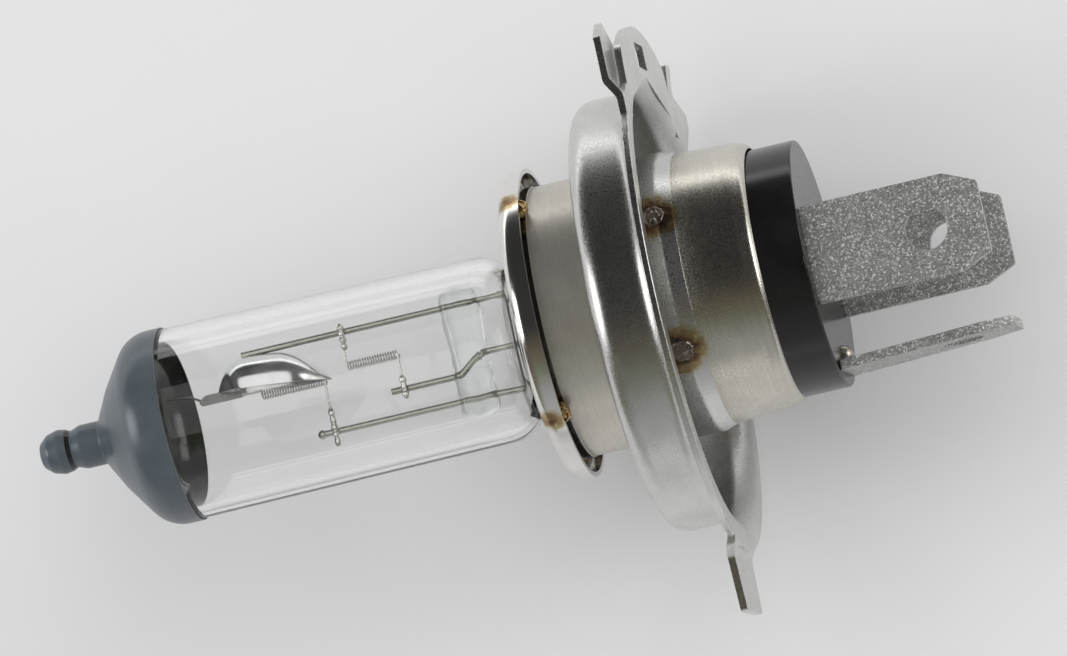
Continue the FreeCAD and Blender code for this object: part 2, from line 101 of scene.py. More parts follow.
class BulbColours(bpy.types.PropertyGroup):
    """Base colours of the finishes."""
    paint: bpy.props.FloatVectorProperty(
        name="Tip paint", description="Heat-proof paint on the glass tip",
        default=(0.075, 0.093, 0.108), subtype="COLOR", size=3, min=0, max=1)
    sleeve: bpy.props.FloatVectorProperty(
        name="Sleeve", description="Satin steel of the base sleeve",
        default=(0.65, 0.62, 0.55), subtype="COLOR", size=3, min=0, max=1)
    flange: bpy.props.FloatVectorProperty(
        name="Flange", description="Pressed steel of the mounting flange",
        default=(0.64, 0.64, 0.62), subtype="COLOR", size=3, min=0, max=1)
    blade: bpy.props.FloatVectorProperty(
        name="Terminals", description="Matte tinned sheet of the terminals",
        default=(0.40, 0.40, 0.385), subtype="COLOR", size=3, min=0, max=1)
    insulator: bpy.props.FloatVectorProperty(
        name="Insulator", description="Black moulding that holds the terminals",
        default=(0.006, 0.006, 0.0065), subtype="COLOR", size=3, min=0, max=1)
    paper: bpy.props.FloatVectorProperty(
        name="Paper", description="Pale sheet under the bulb",
        default=(0.79, 0.79, 0.795), subtype="COLOR", size=3, min=0, max=1)


class StudioSettings(bpy.types.PropertyGroup):
    """Light levels of the studio."""
    key_power: bpy.props.FloatProperty(
        name="Key light", description="Power of the large soft light at the glass end",
        default=0.9, unit="POWER")
    ceiling_power: bpy.props.FloatProperty(
        name="Ceiling light", description="Power of the very large light that only evens out the paper",
        default=5.5, unit="POWER")
    fill_power: bpy.props.FloatProperty(
        name="Fill light", description="Power of the soft light at the terminal end",
        default=1.0, unit="POWER")
    room_level: bpy.props.FloatProperty(
        name="Room level", description="Brightness of the dim room overhead", default=0.10, min=0)
    matte_light: bpy.props.FloatVectorProperty(
        name="Matte light", description="Light from all sides that only matte surfaces receive",
        default=(0.45, 0.45, 0.455), subtype="COLOR", size=3, min=0)
    edge_power: bpy.props.FloatProperty(
        name="Edge light", description="Power of the bright stretch of paper that draws the glass edge",
        default=1.1, unit="POWER")


# ---- modelling helpers ------------------------------------------------------------------------


def start_piece():
    """Leaves edit mode and deselects everything, so that an operator acts on new mesh only."""
    if bpy.context.object and bpy.context.object.mode != "OBJECT":
        bpy.ops.object.mode_set(mode="OBJECT")
    bpy.ops.object.select_all(action="DESELECT")


def rounded(corners, segments=8):
    """Outline points of a closed polygon of (x, r) or (x, r, rounding) corners."""
    points = []
    count = len(corners)
    for i, corner in enumerate(corners):
        here = Vector(corner[:2])
        rounding = corner[2] if len(corner) > 2 else 0
        if not rounding:
            points.append(tuple(here))
            continue
        before = (Vector(corners[i - 1][:2]) - here).normalized()
        after = (Vector(corners[(i + 1) % count][:2]) - here).normalized()
        half = before.angle(after) / 2
        reach = rounding / math.tan(half)
        centre = here + (before + after).normalized() * rounding / math.sin(half)
        first = here + before * reach - centre
        last = here + after * reach - centre
        turn = first.angle_signed(last)
        for k in range(segments + 1):
            a = -turn * k / segments
            c, s = math.cos(a), math.sin(a)
            points.append((centre.x + c * first.x - s * first.y, centre.y + s * first.x + c * first.y))
    return points


def outline_piece(name, points, to_place):
    """A ring of edges through the points, as a new object; to_place gives each point's place."""
    start_piece()
    bpy.ops.mesh.primitive_circle_add(vertices=len(points), radius=0.01, fill_type="NOTHING")
    piece = bpy.context.object
    piece.name = name
    piece.data.name = name
    for vertex, point in zip(piece.data.vertices, points):
        vertex.co = to_place(*point)
    return piece


def tidy_mesh(smooth_angle=35):
    """Merges doubles and turns faces outwards in edit mode, then smooths by angle."""
    bpy.ops.mesh.select_all(action="SELECT")
    bpy.ops.mesh.remove_doubles(threshold=1e-7)
    bpy.ops.mesh.normals_make_consistent(inside=False)
    bpy.ops.object.mode_set(mode="OBJECT")
    bpy.ops.object.shade_smooth_by_angle(angle=math.radians(smooth_angle))


def turned(name, corners, axis_y, smooth_angle=35):
    """Solid of revolution about the lamp's direction; corners in millimetres from the rim."""
    points = rounded(corners)
    piece = outline_piece(
        name, points, lambda x, r: (station(x), (axis_y + r) * MM, 0))
    bpy.ops.object.mode_set(mode="EDIT")
    bpy.ops.mesh.select_all(action="SELECT")
    bpy.ops.mesh.spin(steps=bpy.context.scene.bulb_sizes.turn_steps, angle=2 * math.pi,
                      center=(0, axis_y * MM, 0), axis=(1, 0, 0))
    tidy_mesh(smooth_angle)
    return piece


def apply_modifier(piece, kind, **settings):
    """Adds a modifier with its settings and applies it."""
    bpy.context.view_layer.objects.active = piece
    modifier = piece.modifiers.new(kind.title(), kind)
    for key, value in settings.items():
        setattr(modifier, key, value)
    bpy.ops.object.modifier_apply(modifier=modifier.name)


def bake_place(piece):
    """Moves the object's place, turn and scale into its mesh."""
    start_piece()
    piece.select_set(True)
    bpy.context.view_layer.objects.active = piece
    bpy.ops.object.transform_apply(location=True, rotation=True, scale=True)


def settle(piece, node, material):
    """Gives a finished piece its material, body and slot, and hides the node it stands for."""
    piece.data.materials.clear()
    piece.data.materials.append(material)
    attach(piece, "root")
    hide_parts(node)


def dress(node, material):
    """Gives a carried-over node its material."""
    for slot in NODES[node].material_slots:
        slot.material = material


# ---- finishes ----------------------------------------------------------------------------------


class Finish:
    """A node material under construction: one shader fed by patterns in object space."""

    def __init__(self, name):
        self.material = bpy.data.materials.new(name)
        self.material.use_nodes = True
        self.tree = self.material.node_tree
        self.tree.nodes.clear()
        output = self.tree.nodes.new("ShaderNodeOutputMaterial")
        self.shader = self.tree.nodes.new("ShaderNodeBsdfPrincipled")
        self.tree.links.new(self.shader.outputs[0], output.inputs[0])
        self.place = self.tree.nodes.new("ShaderNodeTexCoord").outputs["Object"]

    def node(self, kind, **settings):
        made = self.tree.nodes.new(kind)
        for key, value in settings.items():
            setattr(made, key, value)
        return made

    def link(self, source, target):
        self.tree.links.new(source, target)

    def set(self, **sockets):
        for key, value in sockets.items():
            socket = self.shader.inputs[key.replace("_", " ")]
            if isinstance(value, bpy.types.NodeSocket):
                self.link(value, socket)
            else:
                socket.default_value = value

    def stretched(self, scale, turn=(0, 0, 0)):
        mapping = self.node("ShaderNodeMapping")
        mapping.inputs["Scale"].default_value = scale
        mapping.inputs["Rotation"].default_value = turn
        self.link(self.place, mapping.inputs["Vector"])
        return mapping.outputs["Vector"]

    def noise(self, scale, detail=3.0, roughness=0.55, vector=None):
        noise = self.node("ShaderNodeTexNoise")
        noise.inputs["Scale"].default_value = scale
        noise.inputs["Detail"].default_value = detail
        noise.inputs["Roughness"].default_value = roughness
        self.link(vector or self.place, noise.inputs["Vector"])
        return noise.outputs["Fac"]

    def cells(self, scale, vector=None):
        cells = self.node("ShaderNodeTexVoronoi")
        cells.inputs["Scale"].default_value = scale
        self.link(vector or self.place, cells.inputs["Vector"])
        return cells.outputs

    def between(self, value, low, high, to_low, to_high):
        span = self.node("ShaderNodeMapRange")
        for name, number in (("From Min", low), ("From Max", high),
                             ("To Min", to_low), ("To Max", to_high)):
            span.inputs[name].default_value = number
        self.link(value, span.inputs["Value"])
        return span.outputs["Result"]

    def maths(self, operation, a, b):
        node = self.node("ShaderNodeMath", operation=operation)
        for socket, value in zip(node.inputs, (a, b)):
            if isinstance(value, bpy.types.NodeSocket):
                self.link(value, socket)
            else:
                socket.default_value = value
        return node.outputs[0]

    def mix(self, amount, first, second):
        mix = self.node("ShaderNodeMix", data_type="RGBA")
        for name, value in (("Factor", amount), ("A", first), ("B", second)):
            sockets = [s for s in mix.inputs if s.name == name and s.enabled]
            socket = sockets[0]
            if isinstance(value, bpy.types.NodeSocket):
                self.link(value, socket)
            elif name == "Factor":
                socket.default_value = value
            else:
                socket.default_value = (*value[:3], 1.0)
        return [s for s in mix.outputs if s.enabled][0]

    def ramp(self, value, stops):
        ramp = self.node("ShaderNodeValToRGB")
        elements = ramp.color_ramp.elements
        for _ in stops[2:]:
            elements.new(0.5)
        for element, (position, colour) in zip(elements, stops):
            element.position = position
            element.color = (*colour, 1.0)
        self.link(value, ramp.inputs["Fac"])
        return ramp.outputs["Color"]

    def bump(self, height, strength, distance, edge=0.0):
        bump = self.node("ShaderNodeBump")
        bump.inputs["Strength"].default_value = strength
        bump.inputs["Distance"].default_value = distance
        self.link(height, bump.inputs["Height"])
        if edge:
            bevel = self.node("ShaderNodeBevel", samples=4)
            bevel.inputs["Radius"].default_value = edge
            self.link(bevel.outputs["Normal"], bump.inputs["Normal"])
        self.set(Normal=bump.outputs["Normal"])

    def nearest(self, places):
        """Distance to the nearest of some places on the object."""
        best = None
        for place in places:
            distance = self.node("ShaderNodeVectorMath", operation="DISTANCE")
            distance.inputs[1].default_value = place
            self.link(self.place, distance.inputs[0])
            value = distance.outputs["Value"]
            best = value if best is None else self.maths("MINIMUM", best, value)
        return best


def shade(colour, level):
    """A colour made lighter or darker."""
    return tuple(min(1.0, c * level) for c in colour)


def satin_metal(name, colour, roughness, grain=9000.0, grain_depth=6e-6, edge=0.0,
                streak=None, stains=(), stain_reach=0.0022, matte_from=None):
    """Pressed or drawn sheet metal: fine grain, cloudy tint, rolled streaks, heat stains."""
    finish = Finish(name)
    cloud = finish.noise(180.0, 4.0, 0.6)
    tint = finish.ramp(cloud, [(0.3, shade(colour, 0.84)), (0.52, colour), (0.72, shade(colour, 1.1))])
    speck = finish.noise(grain, 2.0, 0.7)
    spread = finish.between(speck, 0.32, 0.68, roughness * 0.72, roughness * 1.3)
    height = speck
    if streak:
        lines = finish.noise(1.0, 3.0, 0.6, finish.stretched(streak))
        height = finish.maths("ADD", speck, finish.maths("MULTIPLY", lines, 1.5))
        tint = finish.mix(finish.between(lines, 0.35, 0.7, 0.0, 0.35), tint, shade(colour, 0.72))
    if stains:
        distance = finish.nearest(stains)
        halo = finish.between(distance, stain_reach * 0.25, stain_reach, 1.0, 0.0)
        wobble = finish.maths("MULTIPLY", halo, finish.between(finish.noise(1500.0), 0.3, 0.7, 0.55, 1.25))
        burn = finish.ramp(wobble, [(0.0, colour), (0.3, (0.45, 0.36, 0.2)), (0.6, (0.22, 0.13, 0.07)),
                                    (0.95, (0.05, 0.05, 0.06))])
        tint = finish.mix(finish.between(wobble, 0.02, 0.35, 0.0, 1.0), tint, burn)
    metallic = 1.0
    if matte_from is not None:
        apart = finish.node("ShaderNodeSeparateXYZ")
        finish.link(finish.place, apart.inputs[0])
        extra = finish.between(apart.outputs["X"], matte_from - 0.0005, matte_from + 0.0005, 1.0, 1.35)
        spread = finish.maths("MULTIPLY", spread, extra)
        metallic = finish.between(apart.outputs["X"], matte_from - 0.0005, matte_from + 0.0005, 1.0, 0.75)
    finish.set(Base_Color=tint, Metallic=metallic, Roughness=spread)
    finish.bump(height, 0.35, grain_depth, edge)
    return finish.material


def bright_metal(name, colour, roughness=0.14, edge=0.0):
    """Polished sheet or wire with faint wipe marks."""
    finish = Finish(name)
    smear = finish.noise(420.0, 4.0, 0.65)
    pits = finish.noise(5200.0, 2.0, 0.6)
    tint = finish.ramp(smear, [(0.3, shade(colour, 0.88)), (0.7, colour)])
    finish.set(Base_Color=tint, Metallic=1.0,
               Roughness=finish.between(smear, 0.3, 0.7, roughness * 0.7, roughness * 1.5))
    finish.bump(pits, 0.15, 4e-6, edge)
    return finish.material


def tinned_sheet(name, colour):
    """Matte tin plating, cloudy, with crystals of differing roughness and tilt, and painted glints and
    painted shade: some crystals painted near white, some near black.
    """
    finish = Finish(name)
    cloud = finish.noise(350.0, 5.0, 0.65)
    crystals = finish.cells(8500.0)
    facet = finish.node("ShaderNodeSeparateColor")
    finish.link(crystals["Color"], facet.inputs[0])
    tint = finish.ramp(cloud, [(0.3, shade(colour, 0.8)), (0.55, colour), (0.75, shade(colour, 1.15))])
    # Painted shade and painted glints: crystals are painted near black or near white, standing in for facets
    # that miss or catch the light.
    tint = finish.mix(finish.between(facet.outputs["Red"], 0.0, 0.45, 0.55, 0.0), tint, shade(colour, 0.25))
    tint = finish.mix(finish.between(facet.outputs["Red"], 0.72, 0.98, 0.0, 0.9), tint, (0.97, 0.97, 0.96))
    grain = finish.noise(7000.0, 3.0, 0.7)
    spread = finish.between(facet.outputs["Green"], 0.0, 1.0, 0.3, 0.6)
    finish.set(Base_Color=tint, Metallic=0.55, Roughness=spread)
    finish.bump(finish.maths("ADD", grain, facet.outputs["Blue"]), 0.6, 2.2e-5)
    return finish.material


def clear_glass(name, tint=(1.0, 1.0, 1.0)):
    """Clear quartz with faint drawing lines."""
    finish = Finish(name)
    lines = finish.noise(1.0, 2.0, 0.5, finish.stretched((40.0, 900.0, 900.0)))
    finish.set(Base_Color=(*tint, 1.0), Roughness=finish.between(lines, 0.3, 0.7, 0.0, 0.012),
               IOR=1.46, Transmission_Weight=1.0)
    finish.bump(lines, 0.05, 8e-6)
    return finish.material


def tip_paint(name, colour):
    """Satin heat-proof paint with a slight orange peel."""
    finish = Finish(name)
    cloud = finish.noise(260.0, 4.0, 0.6)
    peel = finish.noise(1600.0, 2.0, 0.5)
    speck = finish.noise(6500.0, 2.0, 0.6)
    tint = finish.ramp(cloud, [(0.3, shade(colour, 0.86)), (0.7, shade(colour, 1.14))])
    tint = finish.mix(finish.between(speck, 0.62, 0.75, 0.0, 0.35), tint, shade(colour, 1.9))
    finish.set(Base_Color=tint, Roughness=finish.between(cloud, 0.3, 0.7, 0.26, 0.36), Specular_IOR_Level=0.6)
    finish.bump(finish.maths("ADD", peel, finish.maths("MULTIPLY", speck, 0.3)), 0.25, 1.6e-5)
    return finish.material


def black_moulding(name, colour):
    """Satin black plastic with moulding grain and a little pale dust."""
    finish = Finish(name)
    cloud = finish.noise(320.0, 4.0, 0.6)
    grain = finish.noise(6000.0, 3.0, 0.6)
    dust = finish.between(finish.noise(3800.0, 2.0, 0.7), 0.68, 0.76, 0.0, 0.15)
    tint = finish.ramp(cloud, [(0.3, colour), (0.75, shade(colour, 2.0))])
    tint = finish.mix(dust, tint, (0.12, 0.12, 0.12))
    finish.set(Base_Color=tint, Roughness=finish.between(grain, 0.3, 0.7, 0.15, 0.26), Specular_IOR_Level=0.5)
    finish.bump(grain, 0.25, 7e-6)
    return finish.material


def paper(name, colour):
    """Pale matte paper with a faint fibre."""
    finish = Finish(name)
    cloud = finish.noise(14.0, 4.0, 0.6)
    fibre = finish.noise(2200.0, 3.0, 0.7)
    tint = finish.ramp(cloud, [(0.3, shade(colour, 0.975)), (0.7, colour)])
    finish.set(Base_Color=tint, Roughness=0.9, Specular_IOR_Level=0.15)
    finish.bump(fibre, 0.25, 3e-5)
    return finish.material


# ---- pieces ------------------------------------------------------------------------------------

# Turns of the welds round the base axis, in degrees from +Z towards +Y.
COLLAR_WELD_TURNS = (-48, 42, 132, 228)
FLANGE_WELD_TURNS = (-28.5, 28.5, 151.5, 208.5)
FLANGE_WELD_X, NECK_RADIUS = 0.45, 11.75
SLEEVE_RADIUS, SLEEVE_BORE = 11.33, 10.83
CUP_FRONT = 6.1
LIP_RADIUS, LIP_FRONT = 13.0, 13.1
TIP_DOME = 46.0


def round_base(x, radius, turn):
    """Place on a cylinder about the base axis; the turn is from +Z towards +Y, in degrees."""
    a = math.radians(turn)
    return Vector((station(x), (BASE_Y + radius * math.sin(a)) * MM, radius * math.cos(a) * MM))


def from_node(name, node):
    """A new block the size of a node's box, ready to be shaped."""
    low, high = (Vector(corner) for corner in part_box(node))
    start_piece()
    bpy.ops.mesh.primitive_cube_add(size=1.0, location=(low + high) / 2)
    piece = bpy.context.object
    piece.name = name
    piece.data.name = name
    piece.scale = high - low
    bake_place(piece)
    return piece


def ripple(piece, depth, wavelength):
    """Moves every vertex along its normal by a smooth, repeatable wave, for hand-worked surfaces."""
    mesh = piece.data
    moves = []
    for vertex in mesh.vertices:
        x, y, z = (vertex.co / wavelength)
        wave = (math.sin(1.7 * x + 0.6 * y) + math.sin(1.1 * y - 1.3 * z + 0.7)
                + math.sin(2.3 * x - 1.9 * y + 0.9 * z))
        moves.append(vertex.co + vertex.normal * depth * wave / 3)
    for vertex, place in zip(mesh.vertices, moves):
        vertex.co = place


def glass_bar(name):
    """Fire-polished glass bar with softly melted edges, thicker where a wire passes through."""
    piece = from_node(name, "glass_bridge")
    apply_modifier(piece, "BEVEL", width=0.00095, segments=6, limit_method="ANGLE")
    bpy.ops.object.mode_set(mode="EDIT")
    bpy.ops.mesh.select_all(action="SELECT")
    bpy.ops.mesh.subdivide(number_cuts=3)
    bpy.ops.object.mode_set(mode="OBJECT")
    apply_modifier(piece, "SUBSURF", levels=1, render_levels=1)
    ripple(piece, 0.00013, 0.0007)
    bpy.ops.object.shade_smooth()
    return piece


class BULB_OT_glass(bpy.types.Operator):
    """Clear envelope with its press seal, and the glass bridge that spaces the wires"""
    bl_idname = "bulb.glass"
    bl_label = "Glass"

    def execute(self, context):
        dress("glass_envelope", clear_glass("clear_quartz"))
        NODES["glass_envelope"].visible_shadow = False
        bridge = glass_bar("bridge_bar")
        settle(bridge, "glass_bridge", clear_glass("bridge_glass", (0.97, 1.0, 0.98)))
        bridge.visible_shadow = False
        return {"FINISHED"}


TIP_OUTSIDE = [
    (44.0, 8.17), (46.72, 8.17, 3.0), (49.37, 4.42, 4.0), (50.82, 1.84, 0.25), (52.55, 1.84, 0.9),
    (53.35, 1.54, 0.3), (53.75, 1.74, 0.3), (54.45, 1.88, 0.6), (55.4, 1.62, 0.6),
    (56.1, 1.02, 0.5), (56.33, 0.0),
]
TIP_INSIDE = [
    (50.6, 0.0), (50.7, 1.72, 0.2), (49.25, 4.3, 4.0), (46.6, 8.06, 3.0), (44.0, 8.06),
]


class BULB_OT_cap(bpy.types.Operator):
    """Painted tip that hides the coils from in front"""
    bl_idname = "bulb.cap"
    bl_label = "Painted tip"

    def execute(self, context):
        paint = tip_paint("tip_paint", context.scene.bulb_colours.paint)
        cap = turned("painted_tip", TIP_OUTSIDE + TIP_INSIDE, 0.0, 50)
        settle(cap, "anti_glare_cap", paint)
        # Painted shade: the cap's inside faces get a near-black finish that stands in for the shade inside
        # the tip, which the shadowless glass does not give.
        cap.data.materials.append(black_moulding("tip_inside_painted_shade", (0.012, 0.014, 0.012)))
        for face in cap.data.polygons:
            from_axis = max(0.0, face.center.x - station(TIP_DOME))
            outwards = Vector((from_axis, face.center.y, face.center.z))
            if face.normal.dot(outwards) < 0:
                face.material_index = 1
        return {"FINISHED"}


def crimped_tube(name, node):
    """Small clamp tube along Y, swollen into rings where it is crimped."""
    low, high = (Vector(corner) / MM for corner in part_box(node))
    radius = (high.x - low.x) / 2
    length = high.y - low.y
    waist = radius * 0.72
    rings = max(3, round(length / 0.62))
    corners = [(0.0, 0.0), (0.0, waist * 0.8, 0.05)]
    for ring in range(rings):
        start = length * (0.04 + 0.92 * ring / rings)
        span = length * 0.92 / rings
        swell = radius * (1.0 if ring % 3 != 1 else 0.86)
        corners += [(start + span * 0.1, waist), (start + span * 0.3, swell, 0.06),
                    (start + span * 0.7, swell, 0.06), (start + span * 0.9, waist)]
    corners += [(length, waist * 0.8, 0.05), (length, 0.0)]
    points = rounded(corners, 4)
    piece = outline_piece(name, points, lambda along, r: (along * MM, r * MM, 0))
    bpy.ops.object.mode_set(mode="EDIT")
    bpy.ops.mesh.select_all(action="SELECT")
    bpy.ops.mesh.spin(steps=32, angle=2 * math.pi, center=(0, 0, 0), axis=(1, 0, 0))
    tidy_mesh(60)
    centre = (low + high) / 2 * MM
    piece.matrix_world = (Matrix.Translation((centre.x, low.y * MM, centre.z))
                          @ Matrix.Rotation(math.pi / 2, 4, "Z"))
    bake_place(piece)
    ripple(piece, 0.00003, 0.00016)
    return piece


def shield_bowl(name):
    """Drawn sheet bowl, steep at its front end and drawn out at its rear end."""
    front, length, depth, sheet, rim_y, tilt = 40.5, 9.7, 2.8, 0.2, -1.7, 5.5
    front_fullness, rear_fullness = 5.0, 2.2
    start_piece()
    bpy.ops.mesh.primitive_uv_sphere_add(segments=96, ring_count=64, radius=1.0,
                                         rotation=(0, math.pi / 2, 0))
    piece = bpy.context.object
    piece.name = name
    piece.data.name = name
    bake_place(piece)
    bpy.ops.object.mode_set(mode="EDIT")
    bpy.ops.mesh.select_all(action="SELECT")
    bpy.ops.mesh.bisect(plane_co=(0, 0, 0), plane_no=(0, 1, 0), clear_outer=True)
    bpy.ops.object.mode_set(mode="OBJECT")
    for vertex in piece.data.vertices:
        along = vertex.co.x
        ring = math.hypot(vertex.co.y, vertex.co.z)
        fullness = front_fullness if along > 0 else rear_fullness
        reach = depth * (1 - abs(along) ** fullness) / max(ring, 1e-6)
        vertex.co = ((along - 1) * length / 2 * MM, vertex.co.y * reach * MM, vertex.co.z * reach * MM)
    bpy.ops.object.mode_set(mode="EDIT")
    tidy_mesh(60)
    apply_modifier(piece, "SOLIDIFY", thickness=sheet * MM, offset=-1.0)
    apply_modifier(piece, "BEVEL", width=0.05 * MM, segments=2, limit_method="ANGLE",
                   angle_limit=math.radians(50))
    piece.matrix_world = (Matrix.Translation((station(front), rim_y * MM, 0))
                          @ Matrix.Rotation(math.radians(-tilt), 4, "Z"))
    bake_place(piece)
    return piece


class BULB_OT_mount(bpy.types.Operator):
    """Wires, clamps, coils, strap, foils and the dipped-beam shield"""
    bl_idname = "bulb.mount"
    bl_label = "Coils and shield"

    def execute(self, context):
        wire = satin_metal("lead_wire", (0.46, 0.46, 0.41), 0.2, 12000.0, 1.2e-6,
                           streak=(120.0, 5000.0, 5000.0))
        coil = bright_metal("coil_wire", (0.72, 0.71, 0.68), 0.22)
        clamp = bright_metal("clamp_metal", (0.80, 0.79, 0.76), 0.2, 4e-5)
        for node in ("lead_wire_common", "lead_wire_high_beam", "lead_wire_low_beam",
                     "outer_lead_common", "outer_lead_high_beam", "outer_lead_low_beam"):
            dress(node, wire)
        for node in ("filament_clamp_common", "filament_clamp_high", "filament_clamp_low"):
            settle(crimped_tube(node + "_tube", node), node, clamp)
        for node in ("low_beam_filament", "high_beam_filament"):
            dress(node, coil)
        dress("filament_strap", satin_metal("strap_metal", (0.2, 0.2, 0.19), 0.3, 12000.0, 1e-6, edge=3e-5))
        dress("sealing_foils", satin_metal("foil_metal", (0.6, 0.58, 0.54), 0.3))
        settle(shield_bowl("shield_bowl"), "dipped_beam_shield",
               bright_metal("shield_metal", (0.80, 0.81, 0.80), 0.17))
        return {"FINISHED"}


class BULB_OT_collar(bpy.types.Operator):
    """Front collar with its bright rolled lip, and the holder round the press seal"""
    bl_idname = "bulb.collar"
    bl_label = "Front collar"

    def execute(self, context):
        welds = [round_base(12.0, 12.2, turn) for turn in COLLAR_WELD_TURNS]
        finish = satin_metal("lip_metal", (0.78, 0.77, 0.74), 0.16, 7000.0, 3e-6,
                             stains=welds, stain_reach=0.0015)
        piece = turned("front_collar_lip", [
            (11.0, 8.5), (11.4, 8.5), (11.4, 11.0, 0.4), (LIP_FRONT, 11.0, 0.9),
            (LIP_FRONT, LIP_RADIUS, 1.1), (11.2, LIP_RADIUS), (11.2, 12.6), (12.7, 12.6, 0.7),
            (12.7, 11.4, 0.5), (11.0, 11.4),
        ], BASE_Y)
        settle(piece, "front_collar", finish)
        dress("pinch_holder", satin_metal("holder_metal", (0.8, 0.79, 0.74), 0.4))
        return {"FINISHED"}


class BULB_OT_sleeve(bpy.types.Operator):
    """Satin base sleeve, crimped over the insulator"""
    bl_idname = "bulb.sleeve"
    bl_label = "Base sleeve"

    def execute(self, context):
        colour = context.scene.bulb_colours.sleeve
        welds = [round_base(FLANGE_WELD_X, NECK_RADIUS, turn) for turn in FLANGE_WELD_TURNS]
        finish = satin_metal("sleeve_metal", colour, 0.27, 8000.0, 2.6e-5,
                             streak=(6000.0, 160.0, 160.0), stains=welds, stain_reach=0.0026,
                             matte_from=station(CUP_FRONT))
        piece = turned("base_sleeve_shell", [
            (11.0, SLEEVE_BORE), (11.0, SLEEVE_RADIUS), (-1.0, SLEEVE_RADIUS, 6.0), (-5.9, 11.08, 2.0),
            (-6.95, 10.8, 0.6), (-7.2, 10.45), (-7.2, 10.36), (-6.5, 10.36), (-6.5, 10.5),
            (-1.2, SLEEVE_BORE, 5.0),
        ], BASE_Y)
        settle(piece, "base_sleeve", finish)
        return {"FINISHED"}


class BULB_OT_flange(bpy.types.Operator):
    """Pressed mounting flange with its cup, lugs and slotted ear"""
    bl_idname = "bulb.flange"
    bl_label = "Mounting flange"

    def execute(self, context):
        colour = context.scene.bulb_colours.flange
        welds = [round_base(FLANGE_WELD_X, NECK_RADIUS, turn) for turn in FLANGE_WELD_TURNS]
        dress("mounting_flange", satin_metal("flange_metal", colour, 0.31, 7000.0, 1.6e-5, 6e-5,
                                             stains=welds, stain_reach=0.0026))
        return {"FINISHED"}


def weld_group(name, x, radius, turns, size, height):
    """Spot welds round the base: each a melted ring about a lumpy pool, copied round the sleeve."""
    spots = []
    for number, turn in enumerate(turns):
        corners = [(0.0, -size * 0.5), (size * 0.96, -size * 0.5), (size, 0.0, size * 0.02),
                   (size * 0.86, height * 0.9, size * 0.12), (size * 0.66, height * 0.2, size * 0.08),
                   (size * 0.36, height * 0.75, size * 0.16), (0.0, height)]
        points = rounded(corners, 4)
        spot = outline_piece(name + "_%d" % number, points, lambda r, up: (r, 0, up))
        bpy.ops.object.mode_set(mode="EDIT")
        bpy.ops.mesh.select_all(action="SELECT")
        bpy.ops.mesh.spin(steps=48, angle=2 * math.pi, center=(0, 0, 0), axis=(0, 0, 1))
        tidy_mesh(80)
        place = round_base(x, radius, turn)
        spot.matrix_world = (Matrix.Translation(place)
                             @ Matrix.Rotation(-math.radians(turn), 4, "X")
                             @ Matrix.Rotation(0.7 * number, 4, "Z"))
        bake_place(spot)
        ripple(spot, size * 0.09, size * 0.16)
        spots.append(spot)
    start_piece()
    for spot in spots:
        spot.select_set(True)
    bpy.context.view_layer.objects.active = spots[0]
    bpy.ops.object.join()
    spots[0].name = name
    return spots[0]


class BULB_OT_welds(bpy.types.Operator):
    """Spot welds on the sleeve and the collar"""
    bl_idname = "bulb.welds"
    bl_label = "Spot welds"

    def execute(self, context):
        dark = satin_metal("weld_dark", (0.24, 0.2, 0.17), 0.34, 5200.0, 3e-5)
        gold = satin_metal("weld_gold", (0.62, 0.44, 0.22), 0.26, 5200.0, 2e-5)
        sizes = context.scene.bulb_sizes
        settle(weld_group("flange_weld_spots", FLANGE_WELD_X, 11.7, FLANGE_WELD_TURNS,
                          sizes.neck_weld_radius, 0.22 * MM), "flange_welds", dark)
        settle(weld_group("collar_weld_spots", 11.5, 12.2, COLLAR_WELD_TURNS,
                          sizes.collar_weld_radius, 0.5 * MM), "collar_welds", gold)
        return {"FINISHED"}


class BULB_OT_insulator(bpy.types.Operator):
    """Black insulator behind the sleeve"""
    bl_idname = "bulb.insulator"
    bl_label = "Insulator"

    def execute(self, context):
        dress("insulator", black_moulding("black_moulding", context.scene.bulb_colours.insulator))
        return {"FINISHED"}


